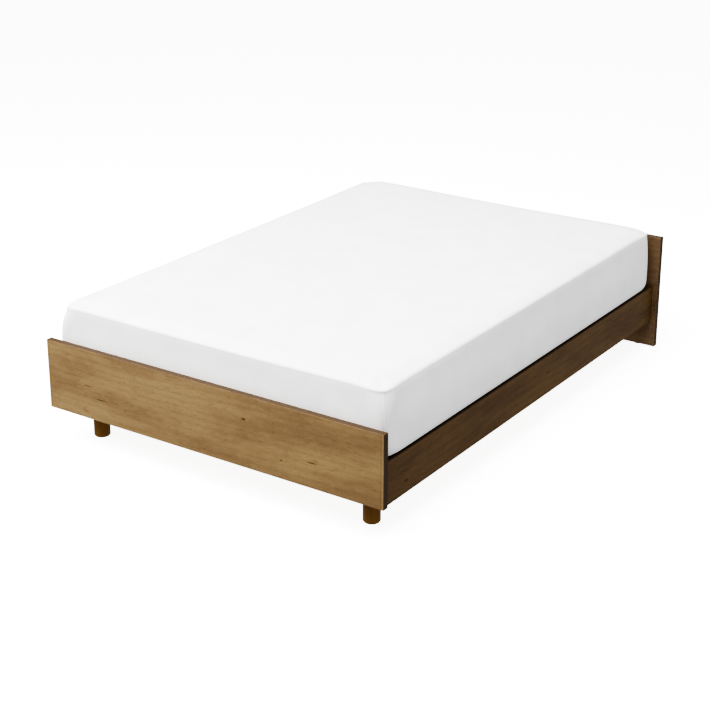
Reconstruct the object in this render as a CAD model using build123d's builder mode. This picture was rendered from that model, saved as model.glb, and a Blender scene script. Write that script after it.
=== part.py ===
from build123d import *
import os

os.makedirs("parts", exist_ok=True)

# A low double bed: a slab footboard on two round legs, a slab head panel that stands on the floor,
# two side rails, a slatted deck on a centre beam, and a mattress in a fitted sheet.
# X runs across the bed, Y from the foot to the head and Z up. The origin is on the floor under the
# middle of the bed. All sizes are in millimetres.

# ---- Boards that show ----
overall_width = 1440.0
panel_thickness = 25.0
footboard_height = 262.0
footboard_clearance = 126.0  # floor to its lower edge
head_panel_height = 475.0
rail_length = 2030.0
rail_thickness = 25.0
rail_height = 152.0
rail_clearance = 114.0  # floor to the rail's lower edge
rail_setback = 22.0  # end of a panel to the outer face of a rail
board_edge_ease = 1.5

# ---- Slatted deck ----
slat_count = 14
slat_width = 80.0
slat_thickness = 15.0
slat_end_gap = 2.0  # slat to rail
slat_first_gap = 25.0  # panel to the first slat
ledger_width = 25.0
ledger_height = 30.0
ledger_end_gap = 5.0
beam_width = 40.0
beam_height = 80.0
webbing_width = 25.0
webbing_thickness = 1.2
webbing_offset = 330.0  # middle of the bed to the middle of a tape
webbing_overlap = 10.0  # tape past the middle of an end slat
staple_crown = 12.0
staple_wire = 1.0
staple_leg = 7.0

# ---- Legs and feet ----
leg_diameter = 60.0
leg_from_rail = 80.0  # rail's inner face to the leg's axis
leg_rail_gap = 5.0  # corner bracket to the leg rail
leg_rail_width = 90.0
leg_rail_thickness = 30.0
felt_diameter = 54.0
felt_thickness = 3.0
stud_radius = 4.0
stud_in_leg = 30.0
stud_in_rail = 20.0
centre_leg_side = 45.0
centre_leg_spacing = 700.0
foot_base_diameter = 40.0
foot_base_height = 8.0
foot_gap = 1.0  # base to the wood of the leg, screwed right in
foot_stud_length = 26.0  # above the base
foot_stud_socket = 5.0  # moulded into the base
foot_insert_length = 20.0
foot_bore_depth = 32.0
foot_stud_chamfer = 1.0
glide_diameter = 20.0
glide_thickness = 3.0
glide_nail_radius = 1.2
glide_nail_length = 12.0
glide_from_end = 80.0

# ---- Brackets ----
angle_thickness = 4.0
angle_leg = 50.0
angle_margin = 6.0  # bracket to the ledger, and to the rail's lower edge
angle_bolt_spacing = 40.0
angle_bolt_reach = 36.0  # corner to the bolts
hanger_thickness = 3.0
hanger_depth = 50.0
hanger_height = 70.0
hanger_ear = 27.0
hanger_screw_spacing = 40.0
beam_side_gap = 0.5
beam_end_gap = 1.0
leg_bracket_thickness = 3.0
leg_bracket_width = 60.0
leg_bracket_flat = 50.0
leg_bracket_upright = 44.0
leg_bracket_screw_spacing = 36.0
leg_bracket_screw_reach = 32.0
plate_thickness = 3.0
plate_length = 110.0
plate_screw_spacing = 86.0
plate_leg_screw_spacing = 24.0

# ---- Fasteners ----
fit_clearance = 0.05  # round a plug in its hole
thread_clearance = 0.1  # round a moving thread
bolt_radius = 4.0
bolt_head_radius = 8.0
bolt_head_height = 4.5
bolt_socket_across = 5.0
bolt_socket_depth = 2.5
insert_radius = 6.0
insert_length = 14.0
dowel_radius = 4.0
dowel_half_length = 15.0
dowel_from_edge = 28.0
wood_screw_radius = 2.5
wood_screw_head_radius = 4.8
wood_screw_head_height = 2.6
bracket_screw_length = 20.0
ledger_screw_length = 40.0
ledger_screw_count = 7
ledger_screw_from_end = 60.0
slat_screw_length = 30.0
slat_screw_spacing = 50.0
plate_screw_length = 25.0

# ---- Mattress and sheet ----
mattress_overhang = 2.0  # past the outer face of a rail, each side
mattress_end_gap = 15.0
mattress_thickness = 245.0
mattress_corner_radius = 70.0
mattress_top_edge_radius = 40.0
mattress_low_edge_radius = 25.0
mattress_wall = 15.0  # foam and quilting round the hollow spring core
sheet_thickness = 1.0
sheet_hem = 70.0  # turned under the mattress
rest_gap = 0.3  # sheet to the deck

# ---- Places that follow from them ----
rail_outer = overall_width / 2 - rail_setback
rail_inner = rail_outer - rail_thickness
rail_middle = (rail_outer + rail_inner) / 2
rail_end = rail_length / 2
rail_top = rail_clearance + rail_height
slat_underside = rail_top - slat_thickness
ledger_underside = slat_underside - ledger_height
ledger_middle = slat_underside - ledger_height / 2
beam_underside = slat_underside - beam_height
leg_rail_underside = beam_underside - leg_rail_thickness
leg_x = rail_inner - leg_from_rail
leg_y = -rail_end + angle_leg + leg_rail_gap + leg_rail_width / 2
slat_reach = rail_inner - slat_end_gap
slat_first = -rail_end + slat_first_gap + slat_width / 2
slat_pitch = -2 * slat_first / (slat_count - 1)
slat_places = [slat_first + number * slat_pitch for number in range(slat_count)]
centre_leg_top = beam_underside - plate_thickness
centre_leg_low = foot_base_height + foot_gap
angle_low = rail_clearance + angle_margin
angle_high = ledger_underside - angle_margin
angle_middle = (angle_low + angle_high) / 2
angle_bolt_heights = [angle_middle - angle_bolt_spacing / 2, angle_middle + angle_bolt_spacing / 2]
dowel_heights = [rail_clearance + dowel_from_edge, rail_top - dowel_from_edge]
ledger_screw_reach = rail_end - ledger_screw_from_end
ledger_screw_pitch = 2 * ledger_screw_reach / (ledger_screw_count - 1)
ledger_screw_places = [ledger_screw_pitch * n - ledger_screw_reach for n in range(ledger_screw_count)]
glide_reach = overall_width / 2 - glide_from_end
glide_places = [glide_reach * share for share in (-1, -1 / 3, 1 / 3, 1)]
head_panel_middle = rail_end + panel_thickness / 2
sheet_low = rail_top + rest_gap
mattress_low = sheet_low + sheet_thickness
mattress_width = 2 * (rail_outer + mattress_overhang)
mattress_length = rail_length - 2 * mattress_end_gap
sides = {"left": -1, "right": 1}
ends = {"foot": -1, "head": 1}


def facing(x, y, z, outward):
    """A plane at a point, with its Z axis along the direction that a hole there opens or a head faces."""
    return Plane(origin=(x, y, z), z_dir=outward)


def write_piece(piece, name):
    """Labels a finished piece and writes it to its own file."""
    piece.part.label = name
    export_step(piece.part, f"parts/{name}.step")


def slab(low, high):
    """A board between two opposite corners, in the part being built."""
    middle = [(low[axis] + high[axis]) / 2 for axis in range(3)]
    with Locations(tuple(middle)):
        Box(high[0] - low[0], high[1] - low[1], high[2] - low[2])


def drill(places, radius, depth):
    """Blind or through holes from each place inwards, in the part being built."""
    with Locations(*places):
        Hole(radius=radius, depth=depth)


# ---- Where the fasteners sit ----
def panel_bolt_places(end):
    """Corner bolts that enter a panel's inner face."""
    return [
        facing(side * (rail_inner - angle_bolt_reach), end * rail_end, height, (0, -end, 0))
        for side in sides.values()
        for height in angle_bolt_heights
    ]


def rail_bolt_places(side):
    """Corner bolts that enter a rail's inner face."""
    return [
        facing(side * rail_inner, end * (rail_end - angle_bolt_reach), height, (-side, 0, 0))
        for end in ends.values()
        for height in angle_bolt_heights
    ]


def dowel_places(side, end):
    """Dowels across the joint between a rail's end and a panel."""
    return [facing(side * rail_middle, end * rail_end, height, (0, -end, 0)) for height in dowel_heights]


def ledger_screw_planes(side, depth_from_rail):
    """Screws from a ledger into its rail, at some depth from the rail's inner face."""
    return [
        facing(side * (rail_inner - depth_from_rail), place, ledger_middle, (-side, 0, 0))
        for place in ledger_screw_places
    ]


def hanger_screw_places(end, stand_off):
    """Screws through a beam hanger's ears into its panel."""
    ear_x = beam_width / 2 + beam_side_gap + hanger_thickness + hanger_ear / 2
    middle = beam_underside - hanger_thickness + hanger_height / 2
    return [
        facing(side * ear_x, end * (rail_end - stand_off), middle + step, (0, -end, 0))
        for side in sides.values()
        for step in (-hanger_screw_spacing / 2, hanger_screw_spacing / 2)
    ]


def leg_bracket_planes(side, stand_off, into_rail):
    """Screws of a leg rail's angle bracket, into the side rail or down into the leg rail."""
    planes = []
    for step in (-leg_bracket_screw_spacing / 2, leg_bracket_screw_spacing / 2):
        if into_rail:
            x = side * (rail_inner - stand_off)
            planes.append(facing(x, leg_y + step, beam_underside + leg_bracket_screw_reach, (-side, 0, 0)))
        else:
            x = side * (rail_inner - leg_bracket_screw_reach)
            planes.append(facing(x, leg_y + step, beam_underside + stand_off, (0, 0, 1)))
    return planes


def plate_screw_planes(stand_off):
    """Screws up through the centre legs' plates into the beam."""
    return [
        facing(0, end * centre_leg_spacing / 2 + step, beam_underside - stand_off, (0, 0, -1))
        for end in ends.values()
        for step in (-plate_screw_spacing / 2, plate_screw_spacing / 2)
    ]


def plate_leg_screw_planes(end):
    """Screws down through a plate into the top of its centre leg."""
    return [
        facing(0, end * centre_leg_spacing / 2 + step, beam_underside, (0, 0, 1))
        for step in (-plate_leg_screw_spacing / 2, plate_leg_screw_spacing / 2)
    ]


def slat_screw_planes(place):
    """Screws down through an end slat into both ledgers."""
    x = rail_inner - ledger_width / 2
    return [
        facing(side * x, place + step, rail_top, (0, 0, 1))
        for side in sides.values()
        for step in (-slat_screw_spacing / 2, slat_screw_spacing / 2)
    ]


end_slat_screw_planes = slat_screw_planes(slat_places[0]) + slat_screw_planes(slat_places[-1])


# ---- Panels ----
def make_panel(name, end, low, high):
    """The footboard or the head panel: an eased slab, drilled on its inner face."""
    inner = end * rail_end
    outer = end * (rail_end + panel_thickness)
    with BuildPart() as panel:
        slab(
            (-overall_width / 2, min(inner, outer), low),
            (overall_width / 2, max(inner, outer), high),
        )
        fillet(panel.edges(), radius=board_edge_ease)
        drill(panel_bolt_places(end), insert_radius + fit_clearance, insert_length)
        for side in sides.values():
            drill(dowel_places(side, end), dowel_radius + fit_clearance, dowel_half_length)
        drill(
            hanger_screw_places(end, 0),
            wood_screw_radius + fit_clearance,
            bracket_screw_length - hanger_thickness,
        )
        if end > 0:
            nails = [facing(x, head_panel_middle, low, (0, 0, -1)) for x in glide_places]
            drill(nails, glide_nail_radius + fit_clearance, glide_nail_length)
    write_piece(panel, name)


make_panel("footboard", -1, footboard_clearance, footboard_clearance + footboard_height)
make_panel("head_panel", 1, glide_thickness, glide_thickness + head_panel_height)


# ---- Side rails and ledgers ----
def make_side_rail(name, side):
    """A rail between the panels, drilled on its inner face and in its ends."""
    inner = side * rail_inner
    outer = side * rail_outer
    with BuildPart() as rail:
        slab((min(inner, outer), -rail_end, rail_clearance), (max(inner, outer), rail_end, rail_top))
        fillet(rail.edges().filter_by(Axis.Y), radius=board_edge_ease)
        drill(rail_bolt_places(side), insert_radius + fit_clearance, insert_length)
        for end in ends.values():
            into_end = [
                facing(side * rail_middle, end * rail_end, height, (0, end, 0)) for height in dowel_heights
            ]
            drill(into_end, dowel_radius + fit_clearance, dowel_half_length)
        drill(
            ledger_screw_planes(side, 0),
            wood_screw_radius + fit_clearance,
            ledger_screw_length - ledger_width,
        )
        drill(
            leg_bracket_planes(side, 0, True),
            wood_screw_radius + fit_clearance,
            bracket_screw_length - leg_bracket_thickness,
        )
    write_piece(rail, name)


def make_ledger(name, side):
    """A square batten screwed along a rail, level with the underside of the slats."""
    inner = side * (rail_inner - ledger_width)
    outer = side * rail_inner
    reach = rail_end - ledger_end_gap
    with BuildPart() as ledger:
        slab((min(inner, outer), -reach, ledger_underside), (max(inner, outer), reach, slat_underside))
        with Locations(*ledger_screw_planes(side, ledger_width)):
            CounterSinkHole(
                radius=wood_screw_radius + fit_clearance,
                counter_sink_radius=wood_screw_head_radius + fit_clearance,
                depth=ledger_width,
                counter_sink_angle=90,
            )
        into_ledger = [plane.offset(-slat_thickness) for plane in end_slat_screw_planes]
        into_ledger = [plane for plane in into_ledger if plane.origin.X * side > 0]
        drill(into_ledger, wood_screw_radius + fit_clearance, slat_screw_length - slat_thickness)
    write_piece(ledger, name)


for side_name, side in sides.items():
    make_side_rail(f"side_rail_{side_name}", side)
    make_ledger(f"ledger_{side_name}", side)


# ---- Slats ----
def staple_planes(place):
    """Staples that hold the two tapes to one slat, seen from below."""
    return [
        facing(side * webbing_offset, place, slat_underside - webbing_thickness, (0, 0, -1))
        for side in sides.values()
    ]


def staple_leg_places(place):
    """The two prongs of each staple on one slat."""
    return [
        (side * webbing_offset + step, place)
        for side in sides.values()
        for step in (-(staple_crown - staple_wire) / 2, (staple_crown - staple_wire) / 2)
    ]


def make_slat(number, place):
    """One slat across both ledgers and the centre beam."""
    half = slat_width / 2
    with BuildPart() as slat:
        slab((-slat_reach, place - half, slat_underside), (slat_reach, place + half, rail_top))
        fillet(slat.edges().filter_by(Axis.X), radius=board_edge_ease)
        if number in (1, slat_count):
            with Locations(*slat_screw_planes(place)):
                CounterSinkHole(
                    radius=wood_screw_radius + fit_clearance,
                    counter_sink_radius=wood_screw_head_radius + fit_clearance,
                    depth=slat_thickness,
                    counter_sink_angle=90,
                )
        with BuildSketch(Plane.XY.offset(slat_underside)):
            with Locations(*staple_leg_places(place)):
                Rectangle(staple_wire + 2 * fit_clearance, staple_wire + 2 * fit_clearance)
        extrude(amount=staple_leg - webbing_thickness, mode=Mode.SUBTRACT)
    write_piece(slat, f"slat_{number:02d}")


for number, place in enumerate(slat_places, start=1):
    make_slat(number, place)


def make_webbing(name, side):
    """A woven tape under the slats that keeps them evenly apart."""
    reach = slat_places[-1] + webbing_overlap
    middle = side * webbing_offset
    with BuildPart() as webbing:
        slab(
            (middle - webbing_width / 2, -reach, slat_underside - webbing_thickness),
            (middle + webbing_width / 2, reach, slat_underside),
        )
        with BuildSketch(Plane.XY.offset(slat_underside - webbing_thickness)):
            for place in slat_places:
                prongs = [point for point in staple_leg_places(place) if point[0] * side > 0]
                with Locations(*prongs):
                    Rectangle(staple_wire + 2 * fit_clearance, staple_wire + 2 * fit_clearance)
        extrude(amount=webbing_thickness, mode=Mode.SUBTRACT)
    write_piece(webbing, name)


for side_name, side in sides.items():
    make_webbing(f"webbing_{side_name}", side)

with BuildPart() as staple:
    with BuildSketch(Plane.XZ):
        with Locations((0, staple_wire / 2)):
            Rectangle(staple_crown, staple_wire)
        for step in (-1, 1):
            with Locations((step * (staple_crown - staple_wire) / 2, -staple_leg / 2)):
                Rectangle(staple_wire, staple_leg)
    extrude(amount=staple_wire / 2, both=True)

with BuildPart() as webbing_staples:
    for place in slat_places:
        with Locations(*staple_planes(place)):
            add(staple.part)
write_piece(webbing_staples, "webbing_staples")


# ---- Centre beam, its hangers and its legs ----
with BuildPart() as centre_beam:
    beam_reach = rail_end - hanger_thickness - beam_end_gap
    slab((-beam_width / 2, -beam_reach, beam_underside), (beam_width / 2, beam_reach, slat_underside))
    drill(
        plate_screw_planes(0),
        wood_screw_radius + fit_clearance,
        bracket_screw_length - plate_thickness,
    )
write_piece(centre_beam, "centre_beam")


def make_beam_hanger(name, end):
    """A folded steel cradle on a panel: two ears, two cheeks and a seat under the beam."""
    back = end * rail_end
    front = end * (rail_end - hanger_thickness)
    mouth = end * (rail_end - hanger_depth)
    cheek_in = beam_width / 2 + beam_side_gap
    cheek_out = cheek_in + hanger_thickness
    ear_out = cheek_out + hanger_ear
    low = beam_underside - hanger_thickness
    high = low + hanger_height
    with BuildPart() as hanger:
        slab((-ear_out, min(back, front), low), (ear_out, max(back, front), high))
        slab((-cheek_out, min(back, mouth), low), (cheek_out, max(back, mouth), high))
        with BuildSketch(Plane.XY.offset(beam_underside)):
            with Locations((0, (front + mouth) / 2)):
                Rectangle(2 * cheek_in, abs(front - mouth))
        extrude(amount=high - beam_underside, mode=Mode.SUBTRACT)
        drill(
            hanger_screw_places(end, hanger_thickness),
            wood_screw_radius + fit_clearance,
            hanger_thickness,
        )
    write_piece(hanger, name)


for end_name, end in ends.items():
    make_beam_hanger(f"beam_hanger_{end_name}", end)


def make_centre_leg(name, end):
    """A square post under the beam, bored for its levelling foot and its plate's screws."""
    middle = end * centre_leg_spacing / 2
    half = centre_leg_side / 2
    with BuildPart() as post:
        slab((-half, middle - half, centre_leg_low), (half, middle + half, centre_leg_top))
        fillet(post.edges().filter_by(Axis.Z), radius=board_edge_ease)
        drill(
            [facing(0, middle, centre_leg_low, (0, 0, -1))],
            insert_radius + fit_clearance,
            foot_bore_depth,
        )
        into_leg = [plane.offset(-plate_thickness) for plane in plate_leg_screw_planes(end)]
        drill(into_leg, wood_screw_radius + fit_clearance, plate_screw_length - plate_thickness)
    write_piece(post, name)


def make_levelling_foot(end_name, end):
    """A moulded base and the steel stud that screws it in and out of a centre leg."""
    middle = end * centre_leg_spacing / 2
    with BuildPart() as foot_base:
        with BuildSketch(Plane.XY):
            with Locations((0, middle)):
                Circle(foot_base_diameter / 2)
        extrude(amount=foot_base_height)
        fillet(foot_base.edges().sort_by(Axis.Z)[-1:], radius=board_edge_ease)
        with BuildSketch(Plane.XY.offset(foot_base_height - foot_stud_socket)):
            with Locations((0, middle)):
                Circle(stud_radius)
        extrude(amount=foot_stud_socket, mode=Mode.SUBTRACT)
    write_piece(foot_base, f"levelling_base_{end_name}")
    with BuildPart() as foot_stud:
        with BuildSketch(Plane.XY.offset(foot_base_height - foot_stud_socket)):
            with Locations((0, middle)):
                Circle(stud_radius)
        extrude(amount=foot_stud_socket + foot_stud_length)
        chamfer(foot_stud.edges().sort_by(Axis.Z)[-1:], length=foot_stud_chamfer)
    write_piece(foot_stud, f"levelling_stud_{end_name}")


for end_name, end in ends.items():
    make_centre_leg(f"centre_leg_{end_name}", end)
    make_levelling_foot(end_name, end)

with BuildPart() as levelling_inserts:
    with BuildSketch(Plane.XY.offset(centre_leg_low)):
        for end in ends.values():
            with Locations((0, end * centre_leg_spacing / 2)):
                Circle(insert_radius)
                Circle(stud_radius + thread_clearance, mode=Mode.SUBTRACT)
    extrude(amount=foot_insert_length)
write_piece(levelling_inserts, "levelling_inserts")

with BuildPart() as leg_plates:
    for end in ends.values():
        middle = end * centre_leg_spacing / 2
        slab(
            (-beam_width / 2, middle - plate_length / 2, centre_leg_top),
            (beam_width / 2, middle + plate_length / 2, beam_underside),
        )
        with Locations(*plate_leg_screw_planes(end)):
            CounterSinkHole(
                radius=wood_screw_radius + fit_clearance,
                counter_sink_radius=wood_screw_head_radius + fit_clearance,
                depth=plate_thickness,
                counter_sink_angle=90,
            )
    drill(plate_screw_planes(plate_thickness), wood_screw_radius + fit_clearance, plate_thickness)
write_piece(leg_plates, "leg_plates")


# ---- Leg rail, its brackets and the round legs ----
with BuildPart() as leg_rail:
    slab(
        (-slat_reach, leg_y - leg_rail_width / 2, leg_rail_underside),
        (slat_reach, leg_y + leg_rail_width / 2, beam_underside),
    )
    fillet(leg_rail.edges().filter_by(Axis.X), radius=board_edge_ease)
    for side in sides.values():
        drill(
            [facing(side * leg_x, leg_y, leg_rail_underside, (0, 0, -1))],
            insert_radius + fit_clearance,
            stud_in_rail,
        )
        drill(
            leg_bracket_planes(side, 0, False),
            wood_screw_radius + fit_clearance,
            bracket_screw_length - leg_bracket_thickness,
        )
write_piece(leg_rail, "leg_rail")


def make_leg_rail_bracket(name, side):
    """A steel angle on top of the leg rail, screwed to the side rail."""
    wall = side * rail_inner
    upright = side * (rail_inner - leg_bracket_thickness)
    flat_end = side * (rail_inner - leg_bracket_flat)
    near = leg_y - leg_bracket_width / 2
    far = leg_y + leg_bracket_width / 2
    with BuildPart() as bracket:
        slab(
            (min(wall, flat_end), near, beam_underside),
            (max(wall, flat_end), far, beam_underside + leg_bracket_thickness),
        )
        slab(
            (min(wall, upright), near, beam_underside),
            (max(wall, upright), far, beam_underside + leg_bracket_upright),
        )
        for into_rail in (True, False):
            drill(
                leg_bracket_planes(side, leg_bracket_thickness, into_rail),
                wood_screw_radius + fit_clearance,
                leg_bracket_thickness,
            )
    write_piece(bracket, name)


def make_leg(name, side):
    """A plain turned leg with a blind hole for its stud."""
    with BuildPart() as leg:
        with BuildSketch(Plane.XY.offset(felt_thickness)):
            with Locations((side * leg_x, leg_y)):
                Circle(leg_diameter / 2)
        extrude(amount=leg_rail_underside - felt_thickness)
        fillet(leg.edges().sort_by(Axis.Z)[:1], radius=board_edge_ease)
        drill(
            [facing(side * leg_x, leg_y, leg_rail_underside, (0, 0, 1))],
            stud_radius + fit_clearance,
            stud_in_leg,
        )
    write_piece(leg, name)


for side_name, side in sides.items():
    make_leg_rail_bracket(f"leg_rail_bracket_{side_name}", side)
    make_leg(f"leg_{side_name}", side)

leg_places = [(side * leg_x, leg_y) for side in sides.values()]

with BuildPart() as leg_studs:
    with BuildSketch(Plane.XY.offset(leg_rail_underside - stud_in_leg)):
        with Locations(*leg_places):
            Circle(stud_radius)
    extrude(amount=stud_in_leg + stud_in_rail)
write_piece(leg_studs, "leg_studs")

with BuildPart() as leg_insert_nuts:
    with BuildSketch(Plane.XY.offset(leg_rail_underside)):
        with Locations(*leg_places):
            Circle(insert_radius)
            Circle(stud_radius + fit_clearance, mode=Mode.SUBTRACT)
    extrude(amount=stud_in_rail)
write_piece(leg_insert_nuts, "leg_insert_nuts")

with BuildPart() as felt_pads:
    with BuildSketch(Plane.XY):
        with Locations(*leg_places):
            Circle(felt_diameter / 2)
    extrude(amount=felt_thickness)
write_piece(felt_pads, "felt_pads")


# ---- Corner joints ----
def make_corner_bracket(name, side, end):
    """A steel angle in the corner between a rail and a panel."""
    rail_face = side * rail_inner
    panel_face = end * rail_end
    along_panel = side * (rail_inner - angle_leg)
    along_rail = end * (rail_end - angle_leg)
    rail_skin = side * (rail_inner - angle_thickness)
    panel_skin = end * (rail_end - angle_thickness)
    with BuildPart() as bracket:
        slab(
            (min(rail_face, along_panel), min(panel_face, panel_skin), angle_low),
            (max(rail_face, along_panel), max(panel_face, panel_skin), angle_high),
        )
        slab(
            (min(rail_face, rail_skin), min(panel_face, along_rail), angle_low),
            (max(rail_face, rail_skin), max(panel_face, along_rail), angle_high),
        )
        holes = [plane for plane in panel_bolt_places(end) if plane.origin.X * side > 0]
        holes += [plane for plane in rail_bolt_places(side) if plane.origin.Y * end > 0]
        drill(
            [plane.offset(angle_thickness) for plane in holes],
            bolt_radius + fit_clearance,
            angle_thickness,
        )
    write_piece(bracket, name)


for side_name, side in sides.items():
    for end_name, end in ends.items():
        make_corner_bracket(f"corner_bracket_{end_name}_{side_name}", side, end)

corner_bolt_planes = []
for value in (-1, 1):
    corner_bolt_planes += panel_bolt_places(value)
    corner_bolt_planes += rail_bolt_places(value)

with BuildPart() as bolt:
    with BuildSketch(Plane.XY):
        Circle(bolt_head_radius)
    extrude(amount=bolt_head_height)
    fillet(bolt.edges().sort_by(Axis.Z)[-1:], radius=board_edge_ease)
    with BuildSketch(Plane.XY):
        Circle(bolt_radius)
    extrude(amount=-(angle_thickness + insert_length))
    with BuildSketch(Plane.XY.offset(bolt_head_height - bolt_socket_depth)):
        RegularPolygon(bolt_socket_across / 2, 6, major_radius=False)
    extrude(amount=bolt_socket_depth, mode=Mode.SUBTRACT)

with BuildPart() as corner_bolts:
    with Locations(*[plane.offset(angle_thickness) for plane in corner_bolt_planes]):
        add(bolt.part)
write_piece(corner_bolts, "corner_bolts")

with BuildPart() as insert_nut:
    with BuildSketch(Plane.XY):
        Circle(insert_radius)
        Circle(bolt_radius + fit_clearance, mode=Mode.SUBTRACT)
    extrude(amount=-insert_length)

with BuildPart() as corner_insert_nuts:
    with Locations(*corner_bolt_planes):
        add(insert_nut.part)
write_piece(corner_insert_nuts, "corner_insert_nuts")

with BuildPart() as dowel:
    with BuildSketch(Plane.XY):
        Circle(dowel_radius)
    extrude(amount=dowel_half_length, both=True)

with BuildPart() as rail_dowels:
    for side in sides.values():
        for end in ends.values():
            with Locations(*dowel_places(side, end)):
                add(dowel.part)
write_piece(rail_dowels, "rail_dowels")


# ---- Screws and glides ----
def countersunk_screw(length):
    """A flat-headed wood screw with its head level with the plane and its shank below."""
    shoulder = wood_screw_head_radius - wood_screw_radius
    with BuildPart() as screw:
        with BuildSketch(Plane.XZ):
            with BuildLine():
                Polyline(
                    (0, 0),
                    (wood_screw_head_radius, 0),
                    (wood_screw_radius, -shoulder),
                    (wood_screw_radius, -length),
                    (0, -length),
                    close=True,
                )
            make_face()
        revolve(axis=Axis.Z)
    return screw.part


ledger_screw = countersunk_screw(ledger_screw_length)
slat_screw = countersunk_screw(slat_screw_length)
plate_screw = countersunk_screw(plate_screw_length)

with BuildPart() as ledger_screws:
    for side in sides.values():
        with Locations(*ledger_screw_planes(side, ledger_width)):
            add(ledger_screw)
write_piece(ledger_screws, "ledger_screws")

with BuildPart() as slat_screws:
    with Locations(*end_slat_screw_planes):
        add(slat_screw)
write_piece(slat_screws, "slat_screws")

with BuildPart() as leg_plate_screws:
    for end in ends.values():
        with Locations(*plate_leg_screw_planes(end)):
            add(plate_screw)
write_piece(leg_plate_screws, "leg_plate_screws")

with BuildPart() as pan_screw:
    with BuildSketch(Plane.XY):
        Circle(wood_screw_head_radius)
    extrude(amount=wood_screw_head_height)
    fillet(pan_screw.edges().sort_by(Axis.Z)[-1:], radius=board_edge_ease)
    with BuildSketch(Plane.XY):
        Circle(wood_screw_radius)
    extrude(amount=-bracket_screw_length)

bracket_screw_planes = plate_screw_planes(plate_thickness)
for value in (-1, 1):
    bracket_screw_planes += hanger_screw_places(value, hanger_thickness)
    bracket_screw_planes += leg_bracket_planes(value, leg_bracket_thickness, True)
    bracket_screw_planes += leg_bracket_planes(value, leg_bracket_thickness, False)

with BuildPart() as bracket_screws:
    with Locations(*bracket_screw_planes):
        add(pan_screw.part)
write_piece(bracket_screws, "bracket_screws")

with BuildPart() as head_glides:
    with BuildSketch(Plane.XY):
        with Locations(*[(x, head_panel_middle) for x in glide_places]):
            Circle(glide_diameter / 2)
    extrude(amount=glide_thickness)
    with BuildSketch(Plane.XY.offset(glide_thickness)):
        with Locations(*[(x, head_panel_middle) for x in glide_places]):
            Circle(glide_nail_radius)
    extrude(amount=glide_nail_length)
write_piece(head_glides, "head_glides")


# ---- Mattress and fitted sheet ----
def rounded_block(width, length, low, high, corner, low_edge, top_edge):
    """A block with rounded corners and softened upper and lower edges."""
    with BuildPart() as block:
        with BuildSketch(Plane.XY.offset(low)):
            RectangleRounded(width, length, corner)
        extrude(amount=high - low)
        fillet(block.faces().sort_by(Axis.Z)[-1].edges(), radius=top_edge)
        fillet(block.faces().sort_by(Axis.Z)[0].edges(), radius=low_edge)
    return block.part


mattress_form = rounded_block(
    mattress_width,
    mattress_length,
    mattress_low,
    mattress_low + mattress_thickness,
    mattress_corner_radius,
    mattress_low_edge_radius,
    mattress_top_edge_radius,
)
sheet_form = rounded_block(
    mattress_width + 2 * sheet_thickness,
    mattress_length + 2 * sheet_thickness,
    sheet_low,
    mattress_low + mattress_thickness + sheet_thickness,
    mattress_corner_radius + sheet_thickness,
    mattress_low_edge_radius + sheet_thickness,
    mattress_top_edge_radius + sheet_thickness,
)

with BuildPart() as mattress:
    add(mattress_form)
    with BuildSketch(Plane.XY.offset(mattress_low + mattress_wall)):
        RectangleRounded(
            mattress_width - 2 * mattress_wall,
            mattress_length - 2 * mattress_wall,
            mattress_corner_radius - mattress_wall,
        )
    extrude(amount=mattress_thickness - 2 * mattress_wall, mode=Mode.SUBTRACT)
write_piece(mattress, "mattress")

with BuildPart() as fitted_sheet:
    add(sheet_form)
    add(mattress_form, mode=Mode.SUBTRACT)
    with BuildSketch(Plane.XY.offset(sheet_low)):
        Rectangle(mattress_width - 2 * sheet_hem, mattress_length - 2 * sheet_hem)
    extrude(amount=2 * sheet_thickness, mode=Mode.SUBTRACT)
write_piece(fitted_sheet, "fitted_sheet")
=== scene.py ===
# %% [markdown]
# # A wooden bed with a mattress in a fitted sheet
# The boards, slats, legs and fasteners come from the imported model, and keep their places and
# shapes. This lesson gives each of them the finish of its real material. It then makes the two
# soft pieces, the mattress and its sheet, which a plain solid can't show, and sets up a plain
# studio around the bed. All lengths are in metres, and Z points up.

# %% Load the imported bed
import math

import bpy
import numpy as np
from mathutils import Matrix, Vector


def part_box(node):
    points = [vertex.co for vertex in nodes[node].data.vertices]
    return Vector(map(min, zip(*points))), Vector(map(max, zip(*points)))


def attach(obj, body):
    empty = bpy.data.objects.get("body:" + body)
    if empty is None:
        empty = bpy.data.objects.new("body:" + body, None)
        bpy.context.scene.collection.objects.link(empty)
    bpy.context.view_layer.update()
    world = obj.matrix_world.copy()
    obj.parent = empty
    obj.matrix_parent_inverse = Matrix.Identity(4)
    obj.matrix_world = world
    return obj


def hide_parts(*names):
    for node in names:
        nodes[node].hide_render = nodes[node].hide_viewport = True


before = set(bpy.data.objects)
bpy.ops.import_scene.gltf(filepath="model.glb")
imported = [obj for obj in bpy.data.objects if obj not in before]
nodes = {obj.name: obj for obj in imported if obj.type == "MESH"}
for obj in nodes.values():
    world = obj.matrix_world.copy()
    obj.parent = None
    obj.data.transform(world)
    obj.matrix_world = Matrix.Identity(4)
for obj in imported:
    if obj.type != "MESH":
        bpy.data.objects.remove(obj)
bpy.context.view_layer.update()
scene = bpy.context.scene
print("pieces in the packed model:", len(nodes))

# %% [markdown]
# ## Four small helpers for materials
# A material in Blender is a network of nodes. One function adds any node, sets it and links it,
# so the steps below can be read as recipes. Colours are written as the sRGB hex values that a
# paint card would give, but a renderer adds light in linear values, so one function converts
# them. Every material here starts as the same Principled surface, and patterns are joined to its
# sockets at the end.

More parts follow.
